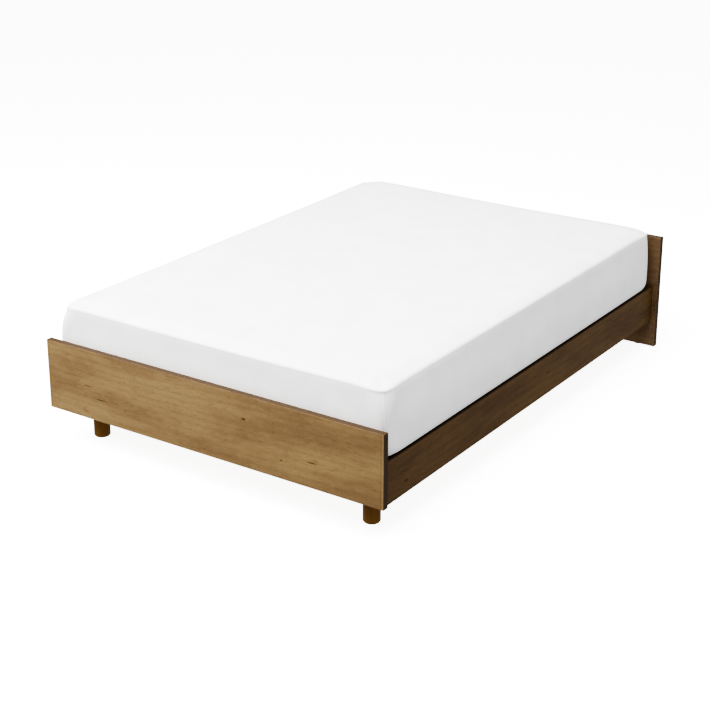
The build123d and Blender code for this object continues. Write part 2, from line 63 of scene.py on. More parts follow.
# %% Colour, node and surface helpers
def linear(hex_colour):
    """An sRGB colour such as "a0522d" as the linear RGBA that a shader works with."""
    channels = [int(hex_colour[i:i + 2], 16) / 255 for i in (0, 2, 4)]
    bright = [c / 12.92 if c <= 0.04045 else ((c + 0.055) / 1.055) ** 2.4 for c in channels]
    return (*bright, 1.0)


def add(tree, kind, inputs=(), out=0, **settings):
    """Adds a node and returns its output numbered or named out. The inputs are values, or outputs
    to link, in the order of the node's sockets or in a dict by socket."""
    node = tree.nodes.new("ShaderNode" + kind)
    for name, value in settings.items():
        setattr(node, name, value)
    for socket, value in inputs.items() if isinstance(inputs, dict) else enumerate(inputs):
        if isinstance(value, bpy.types.NodeSocket):
            tree.links.new(value, node.inputs[socket])
        else:
            node.inputs[socket].default_value = value
    return node.outputs[out]


def surface(name, colour, **sockets):
    """A new material with one Principled surface, whose uniform values are set on its sockets."""
    material = bpy.data.materials.new(name)
    material.use_nodes = True
    material.diffuse_color = linear(colour)
    tree = material.node_tree
    shader = tree.nodes["Principled BSDF"]
    for socket, value in sockets.items():
        shader.inputs[socket.replace("_", " ")].default_value = value
    return material, tree, shader


def join(shader, **outputs):
    """Links patterns to the surface's sockets."""
    for socket, output in outputs.items():
        shader.id_data.links.new(output, shader.inputs[socket.replace("_", " ")])


SOFT_STEP = {"interpolation_type": "SMOOTHSTEP"}    # a Map Range that eases in and out
OF_COLOURS = {"data_type": "RGBA", "out": 2}        # a Mix of two colours, by a share
print("middle grey in linear light:", round(linear("808080")[0], 3))

# %% [markdown]
# ## Sawn wood
# Every board here is wood, so one recipe draws the grain and each kind of wood sets its colours.
# A tree's growth rings are cut lengthwise into long, nearly parallel lines, which the saw opens
# into arches where the ring just grazes the face. So the rings are drawn across the board, with
# their spacing bent by a slow noise that hardly changes along the grain. Pores and darker mineral
# streaks are noise that is stretched the same way, and softer patches show where the stain took
# more or less. An image of real wood would be quicker, but it would repeat, and a recipe gives
# each board its own figure by moving the noise.

# %% Where a point is in the grain
def axis_into(grain):
    """The axis that goes into a board, given the two that lie in its face."""
    return ({"x", "y", "z"} - set(grain)).pop().upper()


def in_the_grain(tree, grain):
    """Each point's place in metres, as along the grain, across the face, and into the board."""
    place = add(tree, "SeparateXYZ", [add(tree, "TexCoord", out="Object")]).node
    axes = grain[0].upper(), grain[1].upper(), axis_into(grain)
    return add(tree, "CombineXYZ", [place.outputs[axis] for axis in axes])


print("a board with its grain along x and its face in xz goes into", axis_into("xz"))

# %% The marks in wood, by size
# Each is how often it repeats in a metre along the grain and across it, then its detail and
# roughness. Real pores are 0.3 mm wide. Drawn at 1 to 4 mm, they and the streaks still show.
WOOD_MARKS = {
    "wander": (0.9, 5.0, 2.0, 0.5),
    "patches": (2.2, 8.0, 3.0, 0.5),
    "flecks": (17.0, 42.0, 2.0, 0.5),
    "streaks": (26.0, 230.0, 3.0, 0.65),
    "pores": (60.0, 900.0, 2.0, 0.6),
}


def marks_in(tree, turned, seed):
    """One stretched noise for each of the marks, from a part of the noise that seed picks."""
    moved = add(tree, "VectorMath", (turned, (seed * 3.1, seed * 1.7, seed * 0.9)))
    marks = {}
    for mark, (along, across, detail, roughness) in WOOD_MARKS.items():
        scale = (along, across, across)
        stretched = add(tree, "VectorMath", (moved, scale), operation="MULTIPLY")
        marks[mark] = add(tree, "TexNoise", {"Vector": stretched, "Scale": 1.0, "Detail": detail,
                                             "Roughness": roughness})
    return marks


print("marks in the wood:", ", ".join(WOOD_MARKS))

# %% Knots and mineral streaks
KNOT_REACH = 6.0        # how far a knot bends the rings, in its half heights
RING_WANDER = 4.0       # how many rings' spacings the slow noise moves a line by


def distance_to_knots(tree, turned, places):
    """How far each point is from the nearest knot, in knots' half heights. The places are lists
    of along, across, half height and how many times longer than high."""
    nearest = 100.0
    for along, across, size, stretch in places:
        away = add(tree, "VectorMath", (turned, (along, across, 0.0)), operation="SUBTRACT")
        scale = (1 / (stretch * size), 1 / size, 0.0)
        away = add(tree, "VectorMath", (away, scale), operation="MULTIPLY")
        away = add(tree, "VectorMath", [away], operation="LENGTH", out="Value")
        nearest = add(tree, "Math", (nearest, away), operation="MINIMUM")
    return nearest


def growth_rings(tree, turned, wander, nearest, spacing):
    """Lines across the board, from -1 to 1, that wander and bend round the knots."""
    across = add(tree, "SeparateXYZ", [turned], out="Y")
    bend = add(tree, "MapRange", (nearest, 0.0, KNOT_REACH, 1.0, 0.0), **SOFT_STEP)
    count = add(tree, "Math", (across, 1 / spacing, bend), operation="MULTIPLY_ADD")
    count = add(tree, "Math", (wander, RING_WANDER, count), operation="MULTIPLY_ADD")
    turns = add(tree, "Math", (count, 2 * math.pi), operation="MULTIPLY")
    return add(tree, "Math", [turns], operation="SINE")


print("a knot 10 mm high bends the rings out to", KNOT_REACH * 5, "mm from its middle")

# %% Solid strips and edge bands
LIPPING = 0.010         # solid strip glued to each end of the footboard
GLUE_FROM = 0.0006      # the joint line is full this far from the joint, and gone at GLUE_TO
GLUE_TO = 0.0014
strip_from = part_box("footboard")[1].x - LIPPING


def lipped(tree, turned, colour, begins, light, line):
    """Adds the solid strip at each end of a panel, past a fine joint line."""
    from_middle = add(tree, "SeparateXYZ", [turned], out="X")
    from_middle = add(tree, "Math", [from_middle], operation="ABSOLUTE")
    past = add(tree, "Math", (from_middle, begins), operation="SUBTRACT")
    strip = add(tree, "MapRange", (past, 0.0, 0.001, 0.0, 0.35), **SOFT_STEP)
    colour = add(tree, "Mix", {0: strip, 6: colour, 7: light}, **OF_COLOURS)
    near = add(tree, "Math", [past], operation="ABSOLUTE")
    joint = add(tree, "MapRange", (near, GLUE_FROM, GLUE_TO, 0.45, 0.0), **SOFT_STEP)
    return add(tree, "Mix", {0: joint, 6: colour, 7: line}, **OF_COLOURS)


def with_painted_shade_edges(tree, grain, colour, band_shade_colour, pore, pores):
    """Colours every side that doesn't face out of the board's face as a glued edge band, whose dark
    colour is painted shade on those sides.
    """
    normal = add(tree, "TexCoord", out="Normal")
    facing = add(tree, "SeparateXYZ", [normal], out=axis_into(grain))
    facing = add(tree, "Math", [facing], operation="ABSOLUTE")
    # Sides that don't face out of the board take the darker band colour: painted shade.
    edge_shade_share = add(tree, "MapRange", (facing, 0.55, 0.9, 1.0, 0.0), **SOFT_STEP)
    share = add(tree, "MapRange", (pores, 0.3, 0.8, 0.0, 0.5), **SOFT_STEP)
    stripe = add(tree, "Mix", {0: share, 6: linear(band_shade_colour), 7: pore}, **OF_COLOURS)
    return add(tree, "Mix", {0: edge_shade_share, 6: colour, 7: stripe}, **OF_COLOURS)


print("the strips begin", round(strip_from, 3), "m from the middle")

# %% The wood recipe itself
def wood(name, grain, tones, seed, ring=0.028, knots=(), gloss=0.2, roughness=0.5,
         ring_share=0.14, streak_share=0.45, pore_share=0.35, edge_band_painted_shade=None, lipping_from=None):
    """The tones are light, middle, dark and pore hex colours, and ring is the spacing of the
    growth rings. lipping_from is how far from the middle the strip at each end begins."""
    material, tree, shader = surface(name, tones[1], IOR=1.5, Specular_IOR_Level=gloss)
    turned = in_the_grain(tree, grain)
    marks = marks_in(tree, turned, seed)
    nearest = distance_to_knots(tree, turned, knots)
    rings = growth_rings(tree, turned, marks["wander"], nearest, ring)

    light, middle, dark, pore = (linear(tone) for tone in tones)
    # Each layer is a mark, where it is none and where it is full, its share then, and its tone.
    layers = [
        (marks["patches"], 0.34, 0.66, 1.0, middle),
        (marks["flecks"], 0.52, 0.75, 0.4, light),
        (marks["flecks"], 0.45, 0.25, 0.2, dark),
        (rings, -0.4, 1.0, ring_share, dark),
        (marks["streaks"], 0.5, 0.74, streak_share, dark),
        (marks["pores"], 0.5, 0.72, pore_share, pore),
        (nearest, 1.3, 0.35, 0.8, pore),
    ]
    colour = light
    for mark, none, full, share, tone in layers:
        share = add(tree, "MapRange", (mark, none, full, 0.0, share), **SOFT_STEP)
        colour = add(tree, "Mix", {0: share, 6: colour, 7: tone}, **OF_COLOURS)
    if lipping_from:
        colour = lipped(tree, turned, colour, lipping_from, light, pore)
    if edge_band_painted_shade:
        colour = with_painted_shade_edges(tree, grain, colour, edge_band_painted_shade, pore, marks["pores"])

    open_pores = add(tree, "MapRange", (marks["pores"], 0.5, 0.72), **SOFT_STEP)
    dull = add(tree, "Math", (open_pores, 0.15, roughness), operation="MULTIPLY_ADD")
    height = add(tree, "Math", (rings, 0.1), operation="MULTIPLY")
    height = add(tree, "Math", (height, open_pores), operation="SUBTRACT")
    relief = add(tree, "Bump", {"Strength": 0.6, "Distance": 0.0002, "Height": height})
    join(shader, Base_Color=colour, Roughness=dull, Normal=relief)
    return material


trial = wood("trial_board", "xz", ("ffffff",) * 4, 0)
print("nodes in a board without knots:", len(trial.node_tree.nodes))
bpy.data.materials.remove(trial)

# %% [markdown]
# ## Oak-veneered boards and turned legs
# The footboard, the head panel and the two side rails are boards faced with stained oak veneer,
# with the grain running their long way. Their cut edges carry a thin glued band, coloured darker
# than the faces as painted shade. The head panel and the rails are also coloured darker than the
# footboard, as painted shade. Oak under a satin varnish has an index of refraction of about 1.5
# and a roughness near 0.5: it shows a soft sheen and no mirror image.

# %% The stained oak
# The light, middle, dark and pore tones of each stain. The head panel's and the rails' tones are
# darker than the footboard's: painted shade.
HONEY_OAK = ("917b57", "7f684a", "664e32", "412f1c")
RAIL_OAK_PAINTED_SHADE = ("6a5232", "5c452a", "463119", "2c1c0b")
HEAD_OAK_PAINTED_SHADE = ("79644c", "6c5642", "543f2c", "362616")
LEG_OAK = ("866335", "76562e", "5f411e", "3d2811")
# The edge band's dark colour is painted shade on the boards' sides.
EDGE_BAND_PAINTED_SHADE = "4a3a28"

# Each knot or streak is along, across, half height, and how many times longer than high.
footboard_knots = [(0.167, 0.302, 0.005, 2.0), (0.32, 0.194, 0.003, 2.5),
                   (0.442, 0.217, 0.0025, 8.0), (-0.468, 0.211, 0.002, 14.0),
                   (-0.53, 0.252, 0.0018, 12.0)]
head_knots = [(-0.3, 0.3, 0.005, 2.0), (0.45, 0.12, 0.004, 2.0)]
right_knots = [(-0.873, 0.16, 0.005, 2.0), (0.617, 0.243, 0.0045, 1.6), (0.1, 0.2, 0.002, 10.0)]
left_knots = [(-0.35, 0.2, 0.004, 2.0), (0.5, 0.16, 0.002, 12.0)]
board_finishes = {
    "footboard": wood("oak_veneer_footboard", "xz", HONEY_OAK, 1, knots=footboard_knots,
                      edge_band_painted_shade=EDGE_BAND_PAINTED_SHADE, lipping_from=strip_from),
    # The head panel's darker tones are painted shade.
    "head_panel": wood("oak_veneer_head_panel", "xz", HEAD_OAK_PAINTED_SHADE, 2, knots=head_knots,
                       edge_band_painted_shade=EDGE_BAND_PAINTED_SHADE),
    # The rails' darker tones are painted shade.
    "side_rail_right": wood("oak_veneer_right_rail", "yz", RAIL_OAK_PAINTED_SHADE, 3, knots=right_knots,
                            edge_band_painted_shade=EDGE_BAND_PAINTED_SHADE),
    "side_rail_left": wood("oak_veneer_left_rail", "yz", RAIL_OAK_PAINTED_SHADE, 4, knots=left_knots,
                           edge_band_painted_shade=EDGE_BAND_PAINTED_SHADE),
    "leg_left": wood("turned_oak_left_leg", "zx", LEG_OAK, 5, ring=0.012),
    "leg_right": wood("turned_oak_right_leg", "zx", LEG_OAK, 6, ring=0.012),
}
print("oak finishes:", len(board_finishes))

# %% [markdown]
# ## The hidden timber
# Slats, ledgers and beams are planed softwood with no stain. Pine is pale, with wide reddish
# rings, and has small pores that hardly show, so its recipe has wider rings and faint streaks.
# Beech dowels are finer and pinker. They could share one material, but two slats cut from one
# plank never match, so the slats take turns with four figures.

# %% Pine and beech
PINE = ("e3c594", "d8b47c", "bd8f56", "a87a45")
BEECH = ("d9b48a", "cda276", "b98b60", "9c7048")
PLANED = {"pore_share": 0.15, "streak_share": 0.25, "ring_share": 0.3, "roughness": 0.6}

slat_finishes = [wood(f"planed_pine_slat_{i}", "xy", PINE, 10 + i, 0.017, **PLANED)
                 for i in range(4)]
long_pine = wood("planed_pine_rails", "yz", PINE, 20, 0.014, **PLANED)
cross_pine = wood("planed_pine_cross_rail", "xy", PINE, 21, 0.014, **PLANED)
post_pine = wood("planed_pine_posts", "zx", PINE, 22, 0.012, **PLANED)
beech = wood("beech_dowel", "yx", BEECH, 23, 0.006, pore_share=0.3, streak_share=0.15)
hidden_finishes = slat_finishes + [long_pine, cross_pine, post_pine, beech]
print("softwood and beech finishes:", len(hidden_finishes))

# %% [markdown]
# ## Metals
# The brackets are pressed steel with a black powder coat, which is a plastic skin: it doesn't
# reflect as a metal does, and its small dimples give a soft, even gloss. The bolts, nuts and
# levelling studs are zinc plated. Bare plating is a true metal, so it keeps the default IOR, and
# it has fine crystals that make its gloss slightly patchy.

# %% Powder coat and zinc plate
def powder_coat():
    """Black textured polyester: dimples of about 1.5 mm."""
    material, tree, shader = surface("black_powder_coat", "17181a", IOR=1.5)
    place = add(tree, "TexCoord", out="Object")
    dimples = add(tree, "TexVoronoi", {"Vector": place, "Scale": 1 / 0.0015})
    patches = add(tree, "TexNoise", {"Vector": place, "Scale": 40.0, "Detail": 3.0})
    colour = add(tree, "Mix", {0: patches, 6: linear("121315"), 7: linear("222325")}, **OF_COLOURS)
    dull = add(tree, "MapRange", (patches, 0.3, 0.7, 0.42, 0.58), **SOFT_STEP)
    relief = add(tree, "Bump", {"Strength": 0.5, "Distance": 0.0001, "Height": dimples})
    join(shader, Base_Color=colour, Roughness=dull, Normal=relief)
    return material


def zinc_plate():
    """Bright zinc with a faint blue passivation, in crystals of about 2 mm."""
    material, tree, shader = surface("zinc_plated_steel", "c9cdd2", Metallic=1.0)
    place = add(tree, "TexCoord", out="Object")
    crystals = add(tree, "TexVoronoi", {"Vector": place, "Scale": 1 / 0.002}, out="Color")
    clouds = add(tree, "TexNoise", {"Vector": place, "Scale": 90.0})
    colour = add(tree, "Mix", {0: crystals, 6: linear("b9bfc6"), 7: linear("d8d8d2")}, **OF_COLOURS)
    dull = add(tree, "MapRange", (clouds, 0.3, 0.7, 0.28, 0.45), **SOFT_STEP)
    join(shader, Base_Color=colour, Roughness=dull)
    return material


powder_coated = powder_coat()
zinc_plated = zinc_plate()
print("metal finishes:", powder_coated.name, zinc_plated.name)

# %% [markdown]
# ## Felt, plastic and webbing
# The legs stand on pads of pressed wool felt, which is all loose fibre, so it is rough and throws
# back a soft rim of light. The head panel slides on moulded black nylon glides. The slats are
# stapled to two polypropylene tapes, woven flat from thick ribs.

# %% Felt and nylon
def wool_felt():
    """Brown pressed felt. Its fibres are drawn 0.8 mm apart, coarser than real, so they show."""
    material, tree, shader = surface("pressed_wool_felt", "4c3f33", Roughness=0.95,
                                     Sheen_Weight=0.4)
    place = add(tree, "TexCoord", out="Object")
    fibres = add(tree, "TexNoise", {"Vector": place, "Scale": 1 / 0.0008, "Detail": 4.0,
                                    "Distortion": 2.0})
    share = add(tree, "MapRange", (fibres, 0.3, 0.7), **SOFT_STEP)
    colour = add(tree, "Mix", {0: share, 6: linear("3a2f26"), 7: linear("66574a")}, **OF_COLOURS)
    relief = add(tree, "Bump", {"Strength": 0.8, "Distance": 0.0004, "Height": fibres})
    join(shader, Base_Color=colour, Normal=relief)
    return material


def moulded_nylon():
    """Black nylon from a spark-eroded mould: a fine even grain of 0.6 mm."""
    material, tree, shader = surface("moulded_black_nylon", "1b1b1c", IOR=1.53)
    place = add(tree, "TexCoord", out="Object")
    grain = add(tree, "TexNoise", {"Vector": place, "Scale": 1 / 0.0006, "Detail": 2.0})
    colour = add(tree, "Mix", {0: grain, 6: linear("161617"), 7: linear("262627")}, **OF_COLOURS)
    dull = add(tree, "MapRange", (grain, 0.2, 0.8, 0.45, 0.6), **SOFT_STEP)
    relief = add(tree, "Bump", {"Strength": 0.5, "Distance": 0.00008, "Height": grain})
    join(shader, Base_Color=colour, Roughness=dull, Normal=relief)
    return material


felt = wool_felt()
nylon = moulded_nylon()
print("soft and moulded finishes:", felt.name, nylon.name)

# %% Woven tape
def woven_tape():
    """Polypropylene tape in plain weave: flat ribs 1.6 mm wide go over and under each other."""
    material, tree, shader = surface("polypropylene_tape", "d9d5ca", Roughness=0.8,
                                     Sheen_Weight=0.2)
    place = add(tree, "TexCoord", out="Object")
    ribs = math.pi / 0.0016
    turned = add(tree, "VectorMath", (place, (ribs, ribs, 0.0)), operation="MULTIPLY")
    waves = add(tree, "VectorMath", [turned], operation="SINE")
    warp = add(tree, "SeparateXYZ", [waves], out="X")
    over = add(tree, "Math", (warp, warp.node.outputs["Y"]), operation="MULTIPLY")
    # The ribs that lie lower are coloured darker: painted shade between the ribs.
    share = add(tree, "MapRange", (over, -0.6, 0.6), **SOFT_STEP)
    colour = add(tree, "Mix", {0: share, 6: linear("b9b4a6"), 7: linear("d9d5ca")}, **OF_COLOURS)
    relief = add(tree, "Bump", {"Strength": 0.6, "Distance": 0.0003, "Height": over})
    join(shader, Base_Color=colour, Normal=relief)
    return material


webbing_tape = woven_tape()
print("woven finish:", webbing_tape.name)

# %% [markdown]
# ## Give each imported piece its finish
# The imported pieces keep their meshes. Only their material slot changes, so a short list of name
# beginnings says which finish goes where.

# %% Assign the finishes
FINISHES = [
    ("slat_screws", zinc_plated), ("webbing_staples", zinc_plated), ("webbing_", webbing_tape),
    ("ledger_screws", zinc_plated), ("ledger_", long_pine), ("centre_beam", long_pine),
    ("leg_rail_bracket", powder_coated), ("leg_rail", cross_pine), ("centre_leg", post_pine),
    ("beam_hanger", powder_coated), ("corner_bracket", powder_coated), ("rail_dowels", beech),
    ("leg_plate_screws", zinc_plated), ("leg_plates", powder_coated), ("felt_pads", felt),
    ("levelling_base", nylon), ("head_glides", nylon), ("levelling_", zinc_plated),
    ("leg_studs", zinc_plated), ("leg_insert_nuts", zinc_plated), ("corner_", zinc_plated),
    ("bracket_screws", zinc_plated),
]


def finish_of(name):
    """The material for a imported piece, by its name."""
    if name in board_finishes:
        return board_finishes[name]
    if name.startswith("slat_") and name[5:].isdigit():
        return slat_finishes[int(name[5:]) % len(slat_finishes)]
    return next(material for start, material in FINISHES if name.startswith(start))


SOFT_NODES = ("mattress", "fitted_sheet")
for name, piece in nodes.items():
    if name not in SOFT_NODES:
        piece.data.materials.clear()
        piece.data.materials.append(finish_of(name))
print("pieces with a finish:", len(nodes) - len(SOFT_NODES))

# %% [markdown]
# ## The shape of the mattress
# A mattress is a sprung core wrapped in quilted ticking. Its top panel has round corners and ends
# in a thin rolled edge. The sides belly out a little below that, their upright corners are packed
# out squarer than the panel's, and the bottom corners are drawn in. Blender could round a cube
# with a bevel, but then the faces would be too large to bend. So the mesh is laid out like the
# tailor's pattern: a grid for the top panel, whose corner cells are drawn round, then one ring
# after another down the side, and a grid for the underside.

# %% Lay out the top panel's grid
mattress_low, mattress_high = (np.array(corner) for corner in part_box("mattress"))

CORNER = 0.080          # radius of the corners at the top edge, seen from above
EDGE_INSET = 0.040      # from the side to the panel's grid
SLACK = 0.003           # the pattern starts this much too small, and the filling swells it
CELL = 0.040            # grid spacing on the flat panels
CORNER_CELLS = 6        # closer cells in each rounded corner

half_x = mattress_high[0] - SLACK
half_y = mattress_high[1] - SLACK
panel_x, panel_y = half_x - EDGE_INSET, half_y - EDGE_INSET
panel_corner = CORNER - EDGE_INSET


def grid_stops(half):
    """Evenly spaced stops along a panel, with closer ones in the two rounded corners."""
    straight = half - panel_corner
    cells = 2 * round(straight / CELL)
    inner = np.linspace(-straight, straight, cells + 1)
    outer = straight + panel_corner * np.arange(1, CORNER_CELLS + 1) / CORNER_CELLS
    return np.concatenate([-outer[::-1], inner, outer])


def rounded(x, y):
    """Moves a point of the square grid so that the grid's corners become quarter circles."""
    past_x, past_y = abs(x) - (panel_x - panel_corner), abs(y) - (panel_y - panel_corner)
    if past_x > 0 and past_y > 0:
        shrink = max(past_x, past_y) / math.hypot(past_x, past_y)
        x = math.copysign(panel_x - panel_corner + past_x * shrink, x)
        y = math.copysign(panel_y - panel_corner + past_y * shrink, y)
    return x, y


stops_x, stops_y = grid_stops(panel_x), grid_stops(panel_y)
panel = np.array([rounded(x, y) for x in stops_x for y in stops_y])
print("grid on each panel:", len(stops_x), "by", len(stops_y))

# %% Walk round the panel's edge
def rim_indices(columns, rows):
    """The grid points on the panel's edge, in order, starting at one corner."""
    walk = [(i, 0) for i in range(columns - 1)]
    walk += [(columns - 1, j) for j in range(rows - 1)]
    walk += [(i, rows - 1) for i in range(columns - 1, 0, -1)]
    walk += [(0, j) for j in range(rows - 1, 0, -1)]
    return [i * rows + j for i, j in walk]


rim = rim_indices(len(stops_x), len(stops_y))
rim_places = panel[rim]
core = np.array([panel_x - panel_corner, panel_y - panel_corner])
outward = rim_places - np.clip(rim_places, -core, core)
outward /= np.linalg.norm(outward, axis=1)[:, None]
corner_share = 2 * abs(outward[:, 0] * outward[:, 1])   # 1 in mid-corner, 0 on the straights
print("points on the rim:", len(rim))

# %% The side's profile
BEAD = 0.0045           # radius of the rolled edge
BEAD_RISE = 0.0015      # how far the rolled edge stands above the panel
LOW_EDGE = 0.024        # radius of the edge round the underside
# How square the corner is at each ring down the side, from 0, as round as the top panel's, to 1.
SQUARED = [0.0, 0.3, 0.5, 0.62, 0.68, 0.68, 0.66, 0.6]
HEAD_SHARE = 0.3        # the head end's corners stay this much as square
# The same down the low edge, and how far the corner is drawn up there.
LOW_CORNERS = [(0.55, 0.010), (0.5, 0.008), (0.4, 0.004), (0.3, 0.0)]


def arc(radius, start, end, steps):
    """Points on an arc, as (outward, up), from one angle in degrees to another."""
    angles = np.radians(np.linspace(start, end, steps))
    return [(radius * math.cos(a), radius * math.sin(a)) for a in angles]


top, low = mattress_high[2] - SLACK, mattress_low[2]
# Each ring is out, height, how square its corners are, and how far they are lifted. The first
# two lie flat on the panel, and the next five go over the rolled edge.
profile = [(EDGE_INSET * 0.4, top, 0.0, 0.0), (EDGE_INSET - 3.2 * BEAD, top, 0.0, 0.0)]
profile += [(EDGE_INSET - BEAD + out, top + BEAD_RISE - BEAD + up, 0.0, 0.0)
            for out, up in arc(BEAD, 125, -35, 5)]
side_top, side_low = top - 3.0 * BEAD, low + LOW_EDGE
for k, squared in enumerate(SQUARED):
    height = side_top + (side_low - side_top) * k / len(SQUARED)
    profile.append((EDGE_INSET, height, squared, 0.0))
profile += [(EDGE_INSET - LOW_EDGE + out, low + LOW_EDGE + up, squared, lifted)
            for (out, up), (squared, lifted) in zip(arc(LOW_EDGE, 0, -90, 4), LOW_CORNERS)]
print("rings from the top panel to the underside:", len(profile))

# %% Where the points of a ring lie
def corner_reach(radius, squared):
    """How far each point of a ring is from its corner's centre, when the corner is squared off."""
    shift = radius * squared * np.where(rim_places[:, 1] > 0, HEAD_SHARE, 1.0)
    wide, narrow = abs(outward).max(axis=1), abs(outward).min(axis=1)
    spread = shift * (wide + narrow)
    root = np.sqrt(np.maximum(spread ** 2 - 2 * shift ** 2 + (radius - shift) ** 2, 0.0))
    return np.where(radius * narrow <= shift * wide, radius / wide, spread + root)


def ring_at(out, height, squared=0.0, lifted=0.0):
    """One ring of points, that far out from the panel's rim."""
    reach = corner_reach(panel_corner + out, squared) - panel_corner
    return np.column_stack([rim_places + outward * reach[:, None], height + lifted * corner_share])


squarest = corner_reach(CORNER, max(SQUARED)).max()
print("the corners reach", round(squarest * 1000, 1), "mm, and round ones", CORNER * 1000, "mm")

# %% Join the grids and rings into one closed mesh
def grid_faces(columns, rows, first, flipped):
    """Quads of a panel whose points start at index first."""
    faces = []
    for i in range(columns - 1):
        for j in range(rows - 1):
            a = first + i * rows + j
            quad = [a, a + rows, a + rows + 1, a + 1]
            faces.append(quad[::-1] if flipped else quad)
    return faces


def band_faces(upper, lower):
    """Quads between two rings of indices."""
    count = len(upper)
    return [[upper[k], lower[k], lower[(k + 1) % count], upper[(k + 1) % count]]
            for k in range(count)]


def mesh_object(name, points, faces):
    """A smooth-shaded mesh object."""
    mesh = bpy.data.meshes.new(name)
    mesh.from_pydata([tuple(p) for p in points], [], faces)
    mesh.shade_smooth()
    piece = bpy.data.objects.new(name, mesh)
    scene.collection.objects.link(piece)
    return piece


columns, rows = len(stops_x), len(stops_y)
points = [np.column_stack([panel, np.full(len(panel), top)])]
faces = grid_faces(columns, rows, 0, False)
rings = [list(rim)]
for ring in profile:
    first = sum(len(p) for p in points)
    points.append(ring_at(*ring))
    rings.append(list(range(first, first + len(rim))))
    faces += band_faces(rings[-2], rings[-1])
underside = sum(len(p) for p in points)
points.append(np.column_stack([panel, np.full(len(panel), low)]))
faces += band_faces(rings[-1], [underside + k for k in rim])
faces += grid_faces(columns, rows, underside, True)

mattress = mesh_object("mattress_in_ticking", np.concatenate(points), faces)
print("mattress mesh:", len(mattress.data.vertices), "points")

# %% [markdown]
# ## Fill it
# Foam and springs press outward on the ticking until it is tight, and that gives a mattress its
# low crown. Blender's cloth can do the same: the mesh becomes cloth with air pressure inside,
# and the underside is held where it rests on the slats. The crown could be drawn by a formula,
# but cloth also rounds the sides and eases the edges as real ticking does. The swelling is
# capped, so the mattress stays the size that it was sold as, and its stiff corners stay put.

# %% Even out a movement
EASING_ROUNDS = 16
mattress_edges = np.array([e.vertices[:] for e in mattress.data.edges])


def eased(move, edges):
    """The movement averaged with its neighbours' in rounds, so that no ripple is left in it."""
    ends_a, ends_b = edges[:, 0], edges[:, 1]
    count = np.bincount(edges.ravel(), minlength=len(move))[:, None]
    for _ in range(EASING_ROUNDS):
        total = np.zeros_like(move)
        np.add.at(total, ends_a, move[ends_b])
        np.add.at(total, ends_b, move[ends_a])
        move = (move + total / count) / 2
    return move


print("edges that even out the ticking:", len(mattress_edges))

# %% Swell the ticking with a cloth simulation
PRESSURE = 4.0          # inside the ticking
STIFFNESS = 40.0        # of the ticking, in tension and in compression
FRAMES = 20             # how long the cloth is given to swell
MOST_SWELL = np.array([0.014, 0.010, 0.011])    # the most that a point moves, in x, y and z


def swell(piece, held):
    """Runs cloth with pressure, and returns where each point ends up, within the cap."""
    start = np.array([v.co for v in piece.data.vertices])
    pins = piece.vertex_groups.new(name="on_the_slats")
    pins.add(held, 1.0, "REPLACE")
    cloth = piece.modifiers.new("filling", "CLOTH")
    cloth.settings.vertex_group_mass = pins.name
    cloth.settings.use_pressure = True
    cloth.settings.uniform_pressure_force = PRESSURE
    cloth.settings.effector_weights.gravity = 0.0
    cloth.settings.tension_stiffness = STIFFNESS
    cloth.settings.compression_stiffness = STIFFNESS
    cloth.point_cache.frame_end = FRAMES
    for number in range(1, FRAMES + 1):
        scene.frame_set(number)
    swollen = piece.evaluated_get(bpy.context.evaluated_depsgraph_get())
    end = np.array([v.co for v in swollen.data.vertices])
    piece.modifiers.clear()
    piece.vertex_groups.clear()
    scene.frame_set(1)
    print("cloth wanted to move at most", round(np.abs(end - start).max() * 1000, 1), "mm")
    capped = MOST_SWELL * np.tanh((end - start) / MOST_SWELL)
    for ring in rings:
        capped[ring, :2] *= (1 - corner_share)[:, None]
    return start + eased(capped, mattress_edges)


held_points = [v.index for v in mattress.data.vertices if v.co.z < low + LOW_EDGE * 0.8]
form = swell(mattress, held_points)
mattress.data.vertices.foreach_set("co", form.ravel())
mattress.data.update()
print("top of the mattress:", round(form[:, 2].max() * 1000, 1), "mm")

# %% [markdown]
# ## The ticking
# Mattress ticking is a heavy damask: a white ground with a raised figure in the same white,
# quilted to a thin wadding. Only its underside shows, between the slats. The quilting is drawn
# as soft diamonds, 85 mm on a side, and the weave as crossing threads.

# %% Quilted ticking
DIAMOND = 0.085         # side of a quilted diamond
THREAD = 0.002          # real threads are 0.4 mm, and these are coarser, so that they show


def quilted_ticking():
    """White damask quilted in diamonds."""
    material, tree, shader = surface("quilted_ticking", "dcdad4", Roughness=0.9,
                                     Sheen_Weight=0.25)
    place = add(tree, "TexCoord", out="Object")
    turned = add(tree, "Mapping", {"Vector": place, "Rotation": (0.0, 0.0, math.pi / 4)})
    crossings = []
    for source, size in ((turned, DIAMOND), (place, THREAD)):
        scale = (math.pi / size, math.pi / size, 0.0)
        scaled = add(tree, "VectorMath", (source, scale), operation="MULTIPLY")
        waves = add(tree, "VectorMath", [scaled], operation="SINE")
        wave = add(tree, "SeparateXYZ", [waves], out="X")
        crossings.append(add(tree, "Math", (wave, wave.node.outputs["Y"]), operation="MULTIPLY"))
    quilting, threads = crossings
    pillow = add(tree, "Math", [quilting], operation="ABSOLUTE")
    pillow = add(tree, "Math", (pillow, 0.4), operation="POWER")
    # The ticking is coloured darker down the quilted grooves than on the pillows: painted shade.
    colour = add(tree, "Mix", {0: pillow, 6: linear("c6c3bb"), 7: linear("e2e0da")}, **OF_COLOURS)
    height = add(tree, "Math", (threads, 0.05, pillow), operation="MULTIPLY_ADD")
    relief = add(tree, "Bump", {"Strength": 0.7, "Distance": 0.004, "Height": height})
    join(shader, Base_Color=colour, Normal=relief)
    return material


